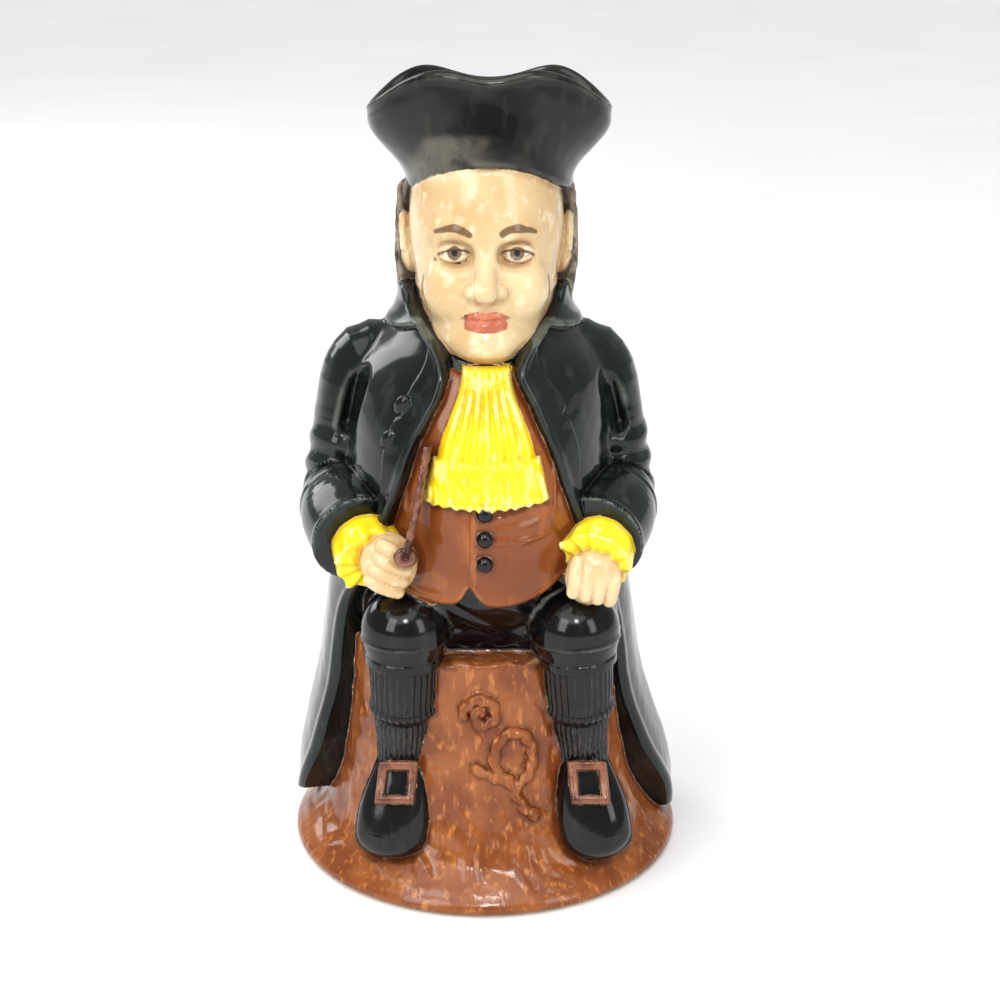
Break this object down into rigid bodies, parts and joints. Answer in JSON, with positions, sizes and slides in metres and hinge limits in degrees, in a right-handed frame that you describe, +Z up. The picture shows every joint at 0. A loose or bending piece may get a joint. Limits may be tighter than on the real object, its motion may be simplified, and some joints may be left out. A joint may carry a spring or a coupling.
{
  "type": "toby jug",
  "caption": "Hollow earthenware jug shaped as a seated figure in a tricorn hat, open at the hat, with a loop handle behind and a round foot, for pouring or display.",
  "frame": {"origin": "under the middle of the round foot, on the plane it stands on", "axes": "+Z up, the figure faces -Y, +X is the right-hand side as seen by someone facing the figure"},
  "size_m": [0.1194, 0.1201, 0.2394],
  "materials": {
    "glaze": "hand-painted underglaze colours under a clear gloss glaze"
  },
  "bodies": {
    "root": {"toby_jug": "glaze"}
  },
  "joints": []
}
